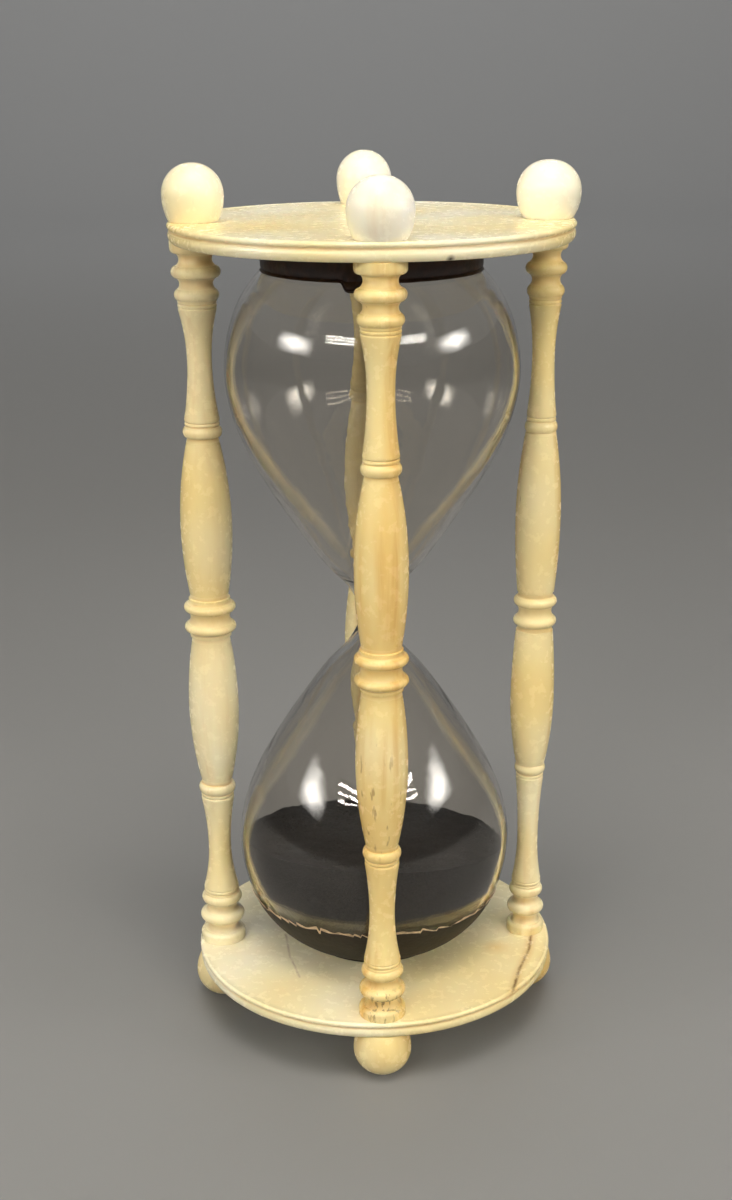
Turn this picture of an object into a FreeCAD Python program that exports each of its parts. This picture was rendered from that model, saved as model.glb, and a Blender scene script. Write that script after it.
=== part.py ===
# Hourglass: two thin moulded discs held apart by four turned baluster pillars, with a blown glass
# ampoule between them. A tenon on each pillar end goes through the disc into a ball, and the eight
# balls clamp the frame together.
# Frame: millimetres, +Z up, origin on the resting plane below the centre. Front is -Y.
import FreeCAD, Part
import math
import os
import Sketcher

doc = FreeCAD.newDocument("Hourglass")
sheet = doc.addObject("Spreadsheet::Sheet", "Dimensions")

# Driving dimensions: alias, value, what it is. Values are mm unless the note says otherwise.
DIMENSIONS = [
    ("plate_radius", 40.0, "outer radius of both discs, before their edges are rounded"),
    ("plate_thick", 3.5, "disc thickness"),
    ("plate_gap", 154.8, "clear distance between the discs"),
    ("plate_edge_inset", 0.85, "how far the disc's faces stop short of its outer radius"),
    ("plate_band_radius", 39.85, "crest of the wide band in the disc's edge"),
    ("plate_groove_inset", 0.45, "depth of the groove above that band"),
    ("plate_groove_height", 2.2, "height of the groove above the disc's underside"),
    ("plate_groove_width", 0.3, "width of the groove"),
    ("pillar_circle", 34.74, "radius of the circle that the pillars stand on"),
    ("tenon_radius", 1.7, "crest radius of the pillar's screw tenon"),
    ("tenon_length", 10.5, "tenon length beyond the pillar's shoulder"),
    ("tenon_chamfer", 0.4, "lead at the tenon's tip"),
    ("hole_radius", 1.8, "tenon hole in the disc"),
    ("ball_height", 10.85, "height of a finial or foot"),
    ("ball_seat_radius", 4.9, "flat seat of a finial or foot"),
    ("ball_seat_drop", 5.0, "from the ball's widest place to its seat"),
    ("ball_flat_radius", 1.2, "radius of the worn flat opposite the seat"),
    ("bore_radius", 1.75, "tapped bore of a ball, at its crests"),
    ("bore_depth", 7.4, "depth of the bore from the seat"),
    ("collar_radius", 4.8, "cylinder at the pillar's end"),
    ("collar_height", 1.5, "height of that cylinder"),
    ("collar_round", 0.9, "height of its rounded inner edge"),
    ("collar_foot_radius", 4.15, "where that rounding ends"),
    ("end_cove_radius", 3.15, "cove between collar and end bead, at its deepest"),
    ("end_bead_radius", 4.75, "end bead, at its crest"),
    ("end_bead_top", 72.6, "outer edge of the end bead, from mid height"),
    ("end_bead_foot", 70.2, "inner edge of the end bead, from mid height"),
    ("neck_cove_radius", 3.2, "cove between end bead and trumpet rim, at its deepest"),
    ("neck_cove_foot", 68.0, "inner edge of that cove, from mid height"),
    ("step_radius", 3.8, "where beads and coves meet"),
    ("rim_radius", 4.3, "rim of the trumpet, at its crest"),
    ("rim_foot", 65.9, "inner edge of the rim, from mid height"),
    ("incised_depth", 0.25, "depth of an incised line"),
    ("incised_width", 0.4, "width of an incised line"),
    ("incised_pitch", 0.8, "distance between two incised lines"),
    ("trumpet_top_radius", 3.75, "wide end of the trumpet, at its incised lines"),
    ("waist_height", 54.0, "narrowest place, from mid height"),
    ("band_root_radius", 3.45, "narrow end of the trumpet, where the band starts"),
    ("band_radius", 3.85, "band above the vase, at its crest"),
    ("band_foot", 38.6, "lower edge of the band, from mid height"),
    ("band_top", 40.7, "upper edge of the band, from mid height"),
    ("vase_neck_radius", 3.15, "top of the vase"),
    ("belly_height", 20.0, "widest place of the vase, from mid height"),
    ("vase_foot_radius", 3.95, "foot of the vase"),
    ("mid_fillet_radius", 4.2, "fillet between the vase and the middle bead"),
    ("mid_fillet_foot", 3.4, "lower edge of that fillet, from mid height"),
    ("mid_fillet_top", 4.3, "upper edge of that fillet, from mid height"),
    ("mid_bead_radius", 5.25, "middle bead, at its crest"),
    ("mid_bead_root_radius", 4.6, "where the middle bead meets its neighbours"),
    ("mid_bead_foot", 1.3, "lower edge of the middle bead, from mid height"),
    ("mid_bead_top", 3.1, "upper edge of the middle bead, from mid height"),
    ("mid_cove_radius", 4.0, "cove between the two middle beads, at its deepest"),
    # The lathe work differs from pillar to pillar and from ball to ball.
    ("belly_front", 5.3, "belly radius of the front pillar"),
    ("belly_right", 4.75, "belly radius of the right pillar"),
    ("belly_back", 5.2, "belly radius of the back pillar"),
    ("belly_left", 5.4, "belly radius of the left pillar"),
    ("waist_front", 2.65, "waist radius of the front pillar"),
    ("waist_right", 2.3, "waist radius of the right pillar"),
    ("waist_back", 2.5, "waist radius of the back pillar"),
    ("waist_left", 2.5, "waist radius of the left pillar"),
    ("beads_front", 1.03, "factor on the front pillar's bead, cove and collar radii"),
    ("beads_right", 0.88, "factor on the right pillar's bead, cove and collar radii"),
    ("beads_back", 1.0, "factor on the back pillar's bead, cove and collar radii"),
    ("beads_left", 1.05, "factor on the left pillar's bead, cove and collar radii"),
    ("finial_front", 6.2, "radius of the front finial"),
    ("finial_right", 6.4, "radius of the right finial"),
    ("finial_back", 5.9, "radius of the back finial"),
    ("finial_left", 6.1, "radius of the left finial"),
    ("foot_front", 6.2, "radius of the front foot"),
    ("foot_right", 6.3, "radius of the right foot"),
    ("foot_back", 6.2, "radius of the back foot"),
    ("foot_left", 6.4, "radius of the left foot"),
    ("band_slip_right", 3.0, "how much nearer the middle the right pillar's lower band sits"),
    ("glass_wall", 1.2, "wall of the bulbs"),
    ("glass_neck", 2.6, "outer radius of the neck, at mid height"),
    ("glass_bore", 0.6, "bore of the neck"),
    ("glass_end", 76.4, "flat end of a bulb, from mid height"),
    ("glass_end_radius", 13.5, "radius of that flat end"),
    ("fill_hole_small", 1.9, "inner end of the filling hole"),
    ("fill_hole_large", 2.2, "outer end of the filling hole"),
    ("upper_pad_radius", 21.7, "bedding pad between the upper bulb and its disc"),
    ("lower_pad_radius", 14.5, "bedding pad between the lower bulb and its disc"),
    ("sand_level", 25.1, "height of the sand's surface on the axis, above the lower disc"),
    ("sand_fall_back", 9.4, "degrees that the sand falls away towards the back"),
    ("sand_fall_right", 2.5, "degrees that the sand falls away towards the right"),
]
for row, (alias, value, note) in enumerate(DIMENSIONS, start=1):
    sheet.set(f"A{row}", note)
    sheet.set(f"B{row}", str(value))
    sheet.setAlias(f"B{row}", alias)
doc.recompute()

# Outer radius of a bulb (second figure) at its distance from mid height (first figure).
BULB_STATIONS = [
    (4.5, 4.25), (12.0, 10.6), (20.0, 16.3), (28.0, 21.5), (36.0, 25.9), (44.0, 28.9),
    (51.0, 30.0), (58.0, 29.35), (64.0, 27.5), (70.0, 23.7), (74.0, 19.2),
]
THROAT_LENGTH = 6.0     # distance from mid height over which the thick neck thins to the wall
CORK_LENGTH_IN_WALLS = 3
PAD_REACH = 8.0         # how far below a disc the side of its bedding pad may reach
INCISED_LINES = 2
SIDES = {"front": (0, -1), "right": (1, 0), "back": (0, 1), "left": (-1, 0)}


def dim(alias):
    return f"Dimensions.{alias}"


def measure(expression):
    return float(sheet.evalExpression(str(expression)))


# Heights that several pieces share, as expressions on the sheet.
BASE_TOP = f"({dim('ball_height')} + {dim('plate_thick')})"
MID = f"({BASE_TOP} + {dim('plate_gap')} / 2)"
TOP_UNDERSIDE = f"({BASE_TOP} + {dim('plate_gap')})"
TOP_FACE = f"({TOP_UNDERSIDE} + {dim('plate_thick')})"


# Signed arc radii, as expressions. An outline is walked upwards: a positive arc swells away from
# the axis and a negative one is hollow.
def arc_to_crest(start, end, crest):
    # The arc whose middle lies at the radius crest.
    rise = f"({crest} - ({start[0]} + {end[0]}) / 2)"
    chord_squared = f"(({end[0]} - {start[0]})^2 + ({end[1]} - {start[1]})^2)"
    return f"(({chord_squared} / 4 + {rise}^2) / (2 * {rise}))"


def arc_upright_at_one_end(start, end, sign):
    # The arc that runs parallel to the axis at its widest (sign 1) or narrowest (sign -1) end.
    chord_squared = f"(({end[0]} - {start[0]})^2 + ({end[1]} - {start[1]})^2)"
    return f"({sign} * {chord_squared} / (2 * abs({end[0]} - {start[0]})))"


def arc_between(start, end, radius):
    # The short arc from start to end, and whether it runs that way round.
    dx, dy = end[0] - start[0], end[1] - start[1]
    chord = math.hypot(dx, dy)
    rise = math.sqrt(radius ** 2 - (chord / 2) ** 2)
    side = 1 if radius > 0 else -1
    centre = FreeCAD.Vector((start[0] + end[0]) / 2 - side * dy / chord * rise,
                            (start[1] + end[1]) / 2 + side * dx / chord * rise, 0)
    start_angle = math.atan2(start[1] - centre.y, start[0] - centre.x)
    end_angle = math.atan2(end[1] - centre.y, end[0] - centre.x)
    circle = Part.Circle(centre, FreeCAD.Vector(0, 0, 1), abs(radius))
    if radius > 0:
        return Part.ArcOfCircle(circle, start_angle, end_angle), True
    return Part.ArcOfCircle(circle, end_angle, start_angle), False


def add_sketch(body, name, plane):
    sketch = body.newObject("Sketcher::SketchObject", name)
    planes = body.Origin.OriginFeatures
    sketch.AttachmentSupport = [(next(item for item in planes if item.Role == plane), "")]
    sketch.MapMode = "FlatFace"
    return sketch


def bind(sketch, kind, places, expression):
    constraint = Sketcher.Constraint(kind, *places, measure(expression))
    sketch.setExpression(f"Constraints[{sketch.addConstraint(constraint)}]", str(expression))


def half_outline(sketch, stations):
    # A closed outline. Each station is (radius, height, arc): arc is the signed radius of the
    # stretch that leads to the next station, or None for a straight one.
    points = [(measure(radius), measure(height)) for radius, height, arc in stations]
    pieces = []
    for (radius, height, arc), start, end in zip(stations, points, points[1:] + points[:1]):
        forward = True
        if arc is None:
            curve = Part.LineSegment(FreeCAD.Vector(*start, 0), FreeCAD.Vector(*end, 0))
        else:
            curve, forward = arc_between(start, end, measure(arc))
        pieces.append((sketch.addGeometry(curve, False), *((1, 2) if forward else (2, 1))))
    for (radius, height, arc), piece, follower in zip(stations, pieces, pieces[1:] + pieces[:1]):
        sketch.addConstraint(Sketcher.Constraint("Coincident", piece[0], piece[2], *follower[:2]))
        bind(sketch, "DistanceX", (-1, 1, *piece[:2]), radius)
        bind(sketch, "DistanceY", (-1, 1, *piece[:2]), height)
        if arc is not None:
            bind(sketch, "Radius", piece[:1], f"abs({arc})")


def turned_body(label, stations):
    body = doc.addObject("PartDesign::Body", label)
    sketch = add_sketch(body, f"{label}_outline", "XZ_Plane")
    half_outline(sketch, stations)
    turning = body.newObject("PartDesign::Revolution", f"{label}_turning")
    turning.Profile = sketch
    turning.ReferenceAxis = (sketch, ["V_Axis"])
    turning.Angle = 360
    return body


def place(body, x, y, height):
    body.setExpression(".Placement.Base.x", str(x))
    body.setExpression(".Placement.Base.y", str(y))
    body.setExpression(".Placement.Base.z", str(height))


def plate(label, underside):
    # A disc whose edge is a wide band, a fine groove and a narrow bead above it.
    face_radius = f"({dim('plate_radius')} - {dim('plate_edge_inset')})"
    groove_radius = f"({dim('plate_radius')} - {dim('plate_groove_inset')})"
    groove_top = f"({dim('plate_groove_height')} + {dim('plate_groove_width')})"
    floor = (face_radius, 0)
    groove_low = (groove_radius, dim("plate_groove_height"))
    groove_high = (groove_radius, groove_top)
    rim = (face_radius, dim("plate_thick"))
    body = turned_body(label, [
        (0, 0, None),
        (*floor, arc_to_crest(floor, groove_low, dim("plate_band_radius"))),
        (*groove_low, None),
        (*groove_high, arc_to_crest(groove_high, rim, dim("plate_radius"))),
        (*rim, None),
        (0, dim("plate_thick"), None),
    ])
    place(body, 0, 0, underside)
    doc.recompute()
    solid_volume = body.Shape.Volume
    sketch = add_sketch(body, f"{label}_hole_outline", "XY_Plane")
    centre = FreeCAD.Vector(measure(dim("pillar_circle")), 0, 0)
    circle = Part.Circle(centre, FreeCAD.Vector(0, 0, 1), measure(dim("hole_radius")))
    sketch.addGeometry(circle, False)
    bind(sketch, "DistanceX", (-1, 1, 0, 3), dim("pillar_circle"))
    bind(sketch, "DistanceY", (-1, 1, 0, 3), 0)
    bind(sketch, "Radius", (0,), dim("hole_radius"))
    hole = body.newObject("PartDesign::Pocket", f"{label}_hole")
    hole.Profile = sketch
    hole.Type = "ThroughAll"
    hole.Midplane = True
    holes = body.newObject("PartDesign::PolarPattern", f"{label}_holes")
    holes.Originals = [hole]
    holes.Axis = (sketch, ["N_Axis"])
    holes.Angle = 360
    holes.Occurrences = len(SIDES)
    body.Tip = holes
    doc.recompute()
    removed = solid_volume - body.Shape.Volume
    expected = len(SIDES) * math.pi * measure(dim("hole_radius")) ** 2 * measure(dim("plate_thick"))
    assert abs(removed - expected) < 0.01 * expected, f"{label} holes: {removed} {expected}"
    return body


def incised_lines(radius, start):
    # The stations of some fine grooves cut side by side in a cylinder.
    stations = []
    for line in range(INCISED_LINES):
        edge = f"({start} + {line} * {dim('incised_pitch')})"
        stations.append((radius, edge, None))
        floor = f"({radius} - {dim('incised_depth')})"
        stations.append((floor, f"({edge} + {dim('incised_width')} / 2)", None))
        stations.append((radius, f"({edge} + {dim('incised_width')})", None))
    return stations


def pillar_half(side, band_slip):
    # Half a pillar from the cove at mid height to the tip of its tenon.
    def bead_dim(alias):
        return f"({dim(f'beads_{side}')} * {dim(alias)})"

    lines_height = f"({INCISED_LINES} * {dim('incised_pitch')})"
    root = bead_dim("mid_bead_root_radius")
    mid_cove = (bead_dim("mid_cove_radius"), 0)
    mid_bead_foot = (root, dim("mid_bead_foot"))
    mid_bead_top = (root, dim("mid_bead_top"))
    vase_foot = (dim("vase_foot_radius"), dim("mid_fillet_top"))
    belly = (dim(f"belly_{side}"), dim("belly_height"))
    vase_neck = (dim("vase_neck_radius"), f"({dim('band_foot')} - {band_slip})")
    band_foot = (bead_dim("band_root_radius"), vase_neck[1])
    band_top = (bead_dim("band_root_radius"), f"({dim('band_top')} - {band_slip})")
    trumpet_start = (band_top[0], f"({band_top[1]} + {lines_height})")
    waist = (dim(f"waist_{side}"), dim("waist_height"))
    trumpet_top = (bead_dim("trumpet_top_radius"), f"({dim('rim_foot')} - {lines_height})")
    rim = (bead_dim("trumpet_top_radius"), dim("rim_foot"))
    neck_cove = (bead_dim("step_radius"), dim("neck_cove_foot"))
    end_bead = (bead_dim("step_radius"), dim("end_bead_foot"))
    end_cove = (bead_dim("step_radius"), dim("end_bead_top"))
    shoulder = f"({dim('plate_gap')} / 2)"
    collar = (bead_dim("collar_radius"), f"({shoulder} - {dim('collar_height')})")
    collar_foot = (bead_dim("collar_foot_radius"), f"({collar[1]} - {dim('collar_round')})")
    cove_end = (bead_dim("step_radius"), collar_foot[1])
    tip = f"({shoulder} + {dim('tenon_length')})"
    return [
        (*mid_cove, arc_upright_at_one_end(mid_cove, mid_bead_foot, -1)),
        (*mid_bead_foot, arc_to_crest(mid_bead_foot, mid_bead_top, bead_dim("mid_bead_radius"))),
        (*mid_bead_top, None),
        (bead_dim("mid_fillet_radius"), dim("mid_fillet_foot"), None),
        (bead_dim("mid_fillet_radius"), dim("mid_fillet_top"), None),
        (*vase_foot, arc_upright_at_one_end(vase_foot, belly, 1)),
        (*belly, arc_upright_at_one_end(belly, vase_neck, 1)),
        (*vase_neck, None),
        (*band_foot, arc_to_crest(band_foot, band_top, bead_dim("band_radius"))),
        *incised_lines(*band_top),
        (*trumpet_start, arc_upright_at_one_end(trumpet_start, waist, -1)),
        (*waist, arc_upright_at_one_end(waist, trumpet_top, -1)),
        *incised_lines(*trumpet_top),
        (*rim, arc_to_crest(rim, neck_cove, bead_dim("rim_radius"))),
        (*neck_cove, arc_to_crest(neck_cove, end_bead, bead_dim("neck_cove_radius"))),
        (*end_bead, arc_to_crest(end_bead, end_cove, bead_dim("end_bead_radius"))),
        (*end_cove, arc_to_crest(end_cove, cove_end, bead_dim("end_cove_radius"))),
        (*cove_end, None),
        (*collar_foot, arc_upright_at_one_end(collar_foot, collar, 1)),
        (*collar, None),
        (bead_dim("collar_radius"), shoulder, None),
        (dim("tenon_radius"), shoulder, None),
        (dim("tenon_radius"), f"({tip} - {dim('tenon_chamfer')})", None),
        (f"({dim('tenon_radius')} - {dim('tenon_chamfer')})", tip, None),
        (0, tip, None),
    ]


def below(half):
    # The same stations mirrored below mid height, in the order they have from the bottom up.
    arcs = [None] + [arc for radius, height, arc in half[:-1]]
    flipped = [(radius, f"(0 - {height})", arc) for (radius, height, _), arc in zip(half, arcs)]
    return flipped[:0:-1]


def pillar(side, direction):
    slip = dim("band_slip_right") if side == "right" else 0
    body = turned_body(f"pillar_{side}", below(pillar_half(side, slip)) + pillar_half(side, 0))
    circle = dim("pillar_circle")
    place(body, f"{direction[0]} * {circle}", f"{direction[1]} * {circle}", MID)
    return body


def ball_nut(label, direction, seat_height, turned_over):
    # A ball with a wide flat seat, a blind bore from the seat and a small worn flat opposite it.
    seat = (dim("ball_seat_radius"), 0)
    widest = (dim(label), dim("ball_seat_drop"))
    flat = (dim("ball_flat_radius"), dim("ball_height"))
    body = turned_body(label, [
        (dim("bore_radius"), 0, None),
        (*seat, arc_upright_at_one_end(seat, widest, 1)),
        (*widest, arc_upright_at_one_end(widest, flat, 1)),
        (*flat, None),
        (0, dim("ball_height"), None),
        (0, dim("bore_depth"), None),
        (dim("bore_radius"), dim("bore_depth"), None),
    ])
    if turned_over:
        body.Placement = FreeCAD.Placement(
            FreeCAD.Vector(), FreeCAD.Rotation(FreeCAD.Vector(1, 0, 0), 180))
    circle = dim("pillar_circle")
    place(body, f"{direction[0]} * {circle}", f"{direction[1]} * {circle}", seat_height)
    return body


def smooth_curve(points):
    # A bulb's side view from its lower flat end to its upper one, square to the axis at both.
    curve = Part.BSplineCurve()
    curve.interpolate(Points=points, InitialTangent=FreeCAD.Vector(1, 0, 0),
                      FinalTangent=FreeCAD.Vector(-1, 0, 0), Scale=False)
    return curve


def revolved(edges, corners):
    # The solid turned from some edges and the straight lines between pairs of corners.
    edges = edges + [Part.makeLine(start, end) for start, end in corners]
    face = Part.Face(Part.Wire(Part.__sortEdges__(edges)))
    return face.revolve(FreeCAD.Vector(), FreeCAD.Vector(0, 0, 1), 360)


def bedding_pad(outer, radius):
    # What fills the gap between a bulb's upper end and the disc above it, out to a radius.
    plate_height, end = measure(dim("plate_gap")) / 2, measure(dim("glass_end"))
    corner = FreeCAD.Vector(radius, 0, plate_height)
    side = Part.LineSegment(FreeCAD.Vector(radius, 0, plate_height - PAD_REACH), corner)
    crossing = outer.intersectCC(side)[0]
    foot = FreeCAD.Vector(crossing.X, crossing.Y, crossing.Z)
    glass_edge = outer.toShape(outer.parameter(foot), outer.LastParameter)
    end_edge = FreeCAD.Vector(measure(dim("glass_end_radius")), 0, end)
    plate_centre = FreeCAD.Vector(0, 0, plate_height)
    return revolved([glass_edge], [
        (end_edge, FreeCAD.Vector(0, 0, end)), (FreeCAD.Vector(0, 0, end), plate_centre),
        (plate_centre, corner), (corner, foot)])


def glass_solids():
    # The ampoule, the space inside it and its two bedding pads, centred on mid height.
    end_radius, end = measure(dim("glass_end_radius")), measure(dim("glass_end"))
    wall, neck = measure(dim("glass_wall")), measure(dim("glass_neck"))
    bulb = BULB_STATIONS + [(end, end_radius)]
    profile = [(-height, radius) for height, radius in reversed(bulb)] + [(0, neck)] + bulb
    outer_points = [FreeCAD.Vector(radius, 0, height) for height, radius in profile]
    outer = smooth_curve(outer_points)
    neck_extra = neck - measure(dim("glass_bore")) - wall
    inner_points = []
    for point in outer_points:
        tangent = outer.tangent(outer.parameter(point))[0]
        thickness = wall + neck_extra * math.exp(-(point.z / THROAT_LENGTH) ** 2)
        inward = FreeCAD.Vector(-tangent.z, 0, tangent.x)
        inner_points.append(point + inward * thickness)
    inner = smooth_curve(inner_points)
    hole_large, hole_small = measure(dim("fill_hole_large")), measure(dim("fill_hole_small"))
    hole_inner = hole_large - (hole_large - hole_small) / CORK_LENGTH_IN_WALLS
    low, low_inner = FreeCAD.Vector(0, 0, -end), FreeCAD.Vector(0, 0, wall - end)
    high, high_inner = FreeCAD.Vector(0, 0, end), FreeCAD.Vector(0, 0, end - wall)
    hole_outside = FreeCAD.Vector(hole_large, 0, end)
    hole_inside = FreeCAD.Vector(hole_inner, 0, end - wall)
    ampoule = revolved([outer.toShape(), inner.toShape()], [
        (low_inner, low), (low, outer_points[0]), (outer_points[-1], hole_outside),
        (hole_outside, hole_inside), (hole_inside, inner_points[-1]), (inner_points[0], low_inner)])
    space = revolved([inner.toShape()], [
        (low_inner, inner_points[0]), (inner_points[-1], high_inner), (high_inner, low_inner)])
    upper_pad = bedding_pad(outer, measure(dim("upper_pad_radius")))
    lower_pad = bedding_pad(outer, measure(dim("lower_pad_radius")))
    return ampoule, space, upper_pad, lower_pad.mirror(FreeCAD.Vector(), FreeCAD.Vector(0, 0, 1))


def feature(label, shape):
    piece = doc.addObject("Part::Feature", label)
    piece.Shape = shape
    piece.Placement = FreeCAD.Placement(FreeCAD.Vector(0, 0, measure(MID)), FreeCAD.Rotation())
    return piece


def filling_cork():
    # A tapered plug whose outer face is flush with the upper bulb's flat end.
    cork = doc.addObject("Part::Cone", "filling_cork")
    cork.setExpression("Radius1", dim("fill_hole_small"))
    cork.setExpression("Radius2", dim("fill_hole_large"))
    length = f"{CORK_LENGTH_IN_WALLS} * {dim('glass_wall')}"
    cork.setExpression("Height", length)
    place(cork, 0, 0, f"{MID} + {dim('glass_end')} - {length}")
    return cork


def sand_shape(space):
    # What lies below a tilted surface in the lower bulb.
    reach = 2 * measure(dim("plate_radius"))
    below_surface = Part.makeBox(2 * reach, 2 * reach, reach, FreeCAD.Vector(-reach, -reach, -reach))
    fall_back = FreeCAD.Rotation(FreeCAD.Vector(1, 0, 0), -measure(dim("sand_fall_back")))
    fall_right = FreeCAD.Rotation(FreeCAD.Vector(0, 1, 0), measure(dim("sand_fall_right")))
    level = measure(dim("sand_level")) - measure(dim("plate_gap")) / 2
    below_surface.Placement = FreeCAD.Placement(FreeCAD.Vector(0, 0, level), fall_right * fall_back)
    return space.common(below_surface)


nodes = [plate("base_plate", dim("ball_height")), plate("top_plate", TOP_UNDERSIDE)]
for side, direction in SIDES.items():
    nodes.append(pillar(side, direction))
    nodes.append(ball_nut(f"finial_{side}", direction, TOP_FACE, False))
    nodes.append(ball_nut(f"foot_{side}", direction, dim("ball_height"), True))
doc.recompute()
ampoule, space, upper_pad, lower_pad = glass_solids()
nodes += [
    feature("glass_ampoule", ampoule),
    feature("sand", sand_shape(space)),
    filling_cork(),
    feature("upper_pad", upper_pad),
    feature("lower_pad", lower_pad),
]
doc.recompute()

for item in doc.Objects:
    assert not {"Invalid", "Error"} & set(item.State), f"{item.Name} failed: {item.State}"
os.makedirs("parts", exist_ok=True)
for node in nodes:
    shape = node.Shape
    assert not shape.isNull() and shape.isValid(), f"{node.Label} has no valid shape"
    assert len(shape.Solids) == 1, f"{node.Label} is {len(shape.Solids)} solids"
    shape.exportStep(f"parts/{node.Label}.step")
    box = shape.optimalBoundingBox()
    print(f"{node.Label:14s} volume {shape.Volume:9.1f}  z {box.ZMin:7.2f} to {box.ZMax:7.2f}"
          f"  width {box.XLength:6.2f}")
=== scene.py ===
import math
import bpy
import numpy as np
from mathutils import Matrix, Vector, noise


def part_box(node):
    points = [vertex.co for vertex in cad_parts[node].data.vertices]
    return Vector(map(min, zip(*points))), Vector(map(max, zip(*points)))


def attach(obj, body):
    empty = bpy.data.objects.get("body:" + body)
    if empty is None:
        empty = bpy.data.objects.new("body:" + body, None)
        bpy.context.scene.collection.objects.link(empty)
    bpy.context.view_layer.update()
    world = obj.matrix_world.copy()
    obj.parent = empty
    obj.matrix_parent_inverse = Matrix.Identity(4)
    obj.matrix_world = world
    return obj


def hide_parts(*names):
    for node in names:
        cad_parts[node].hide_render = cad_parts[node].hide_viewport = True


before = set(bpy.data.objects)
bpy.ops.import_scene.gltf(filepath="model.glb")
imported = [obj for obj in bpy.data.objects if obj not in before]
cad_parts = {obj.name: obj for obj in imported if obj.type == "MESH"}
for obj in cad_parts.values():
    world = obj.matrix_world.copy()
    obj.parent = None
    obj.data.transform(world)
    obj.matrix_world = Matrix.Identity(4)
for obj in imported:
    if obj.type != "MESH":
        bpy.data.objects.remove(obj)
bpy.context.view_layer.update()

mm = 0.001
baseLow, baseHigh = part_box("base_plate")
topLow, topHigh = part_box("top_plate")
middle = (baseHigh.z + topLow.z) / 2  # height of the glass's neck
halfGap = (topLow.z - baseHigh.z) / 2 / mm  # mm from the neck to either plate
sides = {"front": (0, -1), "right": (1, 0), "back": (0, 1), "left": (-1, 0)}


# ---- outlines, as (radius, height) in mm, walked upwards ----

def bow(start, end, crest, steps=9):
    # the arc from start to end whose middle lies at the radius crest; start itself is left out
    start, end = np.array(start, float), np.array(end, float)
    rise = crest - (start[0] + end[0]) / 2
    chord = np.linalg.norm(end - start)
    along = (end - start) / chord
    outward = np.array([along[1], -along[0]]) * math.copysign(1, rise)
    radius = (chord ** 2 / 4 + rise ** 2) / (2 * abs(rise))
    half = 2 * math.atan(2 * abs(rise) / chord)
    points = []
    for angle in np.linspace(-half, half, steps + 1)[1:]:
        out = radius * (math.cos(angle) - math.cos(half))
        points.append(tuple((start + end) / 2 + along * radius * math.sin(angle) + outward * out))
    return points


def swell(start, end, upright, steps=12):
    # the arc from start to end that runs parallel to the axis at the one called upright
    other = start if upright == end else end
    drop = other[0] - upright[0]
    reach = other[1] - upright[1]
    radius = (reach ** 2 + drop ** 2) / (2 * abs(drop))
    widest = math.asin(reach / radius)
    points = []
    for step in range(1, steps + 1):
        share = step / steps if upright == start else 1 - step / steps
        sag = radius * (1 - math.cos(widest * share))
        climb = radius * math.sin(widest * share)
        points.append((upright[0] + math.copysign(sag, drop), upright[1] + climb))
    return points


def softened(outline, radius, smallest=22):
    # every corner sharper than smallest degrees gets a small round edge
    result = [outline[0]]
    for before, corner, after in zip(outline, outline[1:], outline[2:]):
        before, corner, after = np.array(before), np.array(corner), np.array(after)
        back, ahead = before - corner, after - corner
        backLength, aheadLength = np.linalg.norm(back), np.linalg.norm(ahead)
        cosine = np.dot(back, ahead) / max(backLength * aheadLength, 1e-9)
        turn = 180 - math.degrees(math.acos(max(-1, min(1, cosine))))
        if turn < smallest:
            result.append(tuple(corner))
            continue
        reach = min(radius, 0.4 * backLength, 0.4 * aheadLength)
        start = corner + back / backLength * reach
        end = corner + ahead / aheadLength * reach
        for t in (0, 0.25, 0.5, 0.75, 1):
            result.append(tuple((1 - t) ** 2 * start + 2 * t * (1 - t) * corner + t ** 2 * end))
    return result + [outline[-1]]


def finer(outline, longest):
    # straight stretches cut up so that no step is longer than longest
    result = [outline[0]]
    for start, end in zip(outline, outline[1:]):
        pieces = max(1, math.ceil(math.dist(start, end) / longest))
        for step in range(1, pieces + 1):
            t = step / pieces
            result.append((start[0] + (end[0] - start[0]) * t, start[1] + (end[1] - start[1]) * t))
    return result


def hollowness(outline, window=1.4):
    # how far each point lies inside the outline around it, in mm: high in coves and grooves
    points = np.array(outline)
    steps = np.hypot(*np.diff(points, axis=0).T)
    place = np.concatenate([[0], np.cumsum(steps)])
    offsets = np.linspace(-window, window, 15)
    around = np.array([np.interp(place + offset, place, points[:, 0]) for offset in offsets])
    return around.mean(axis=0) - points[:, 0]


# ---- meshes ----

onAxis = 1e-7        # metres; a point nearer the axis than this is a pole
wobbleRound = 1.3    # how quickly a piece's unevenness changes around it
wobbleAlong = 90     # and along it, per metre


def meshObject(name, vertices, faces, attributes=None, sharpAngle=40):
    mesh = bpy.data.meshes.new(name)
    mesh.from_pydata([tuple(vertex) for vertex in vertices], [], faces)
    mesh.shade_smooth()
    mesh.set_sharp_from_angle(angle=math.radians(sharpAngle))
    for label, values in (attributes or {}).items():
        mesh.attributes.new(label, "FLOAT", "POINT").data.foreach_set("value", np.array(values, np.float32))
    piece = bpy.data.objects.new(name, mesh)
    bpy.context.scene.collection.objects.link(piece)
    return piece


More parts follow.
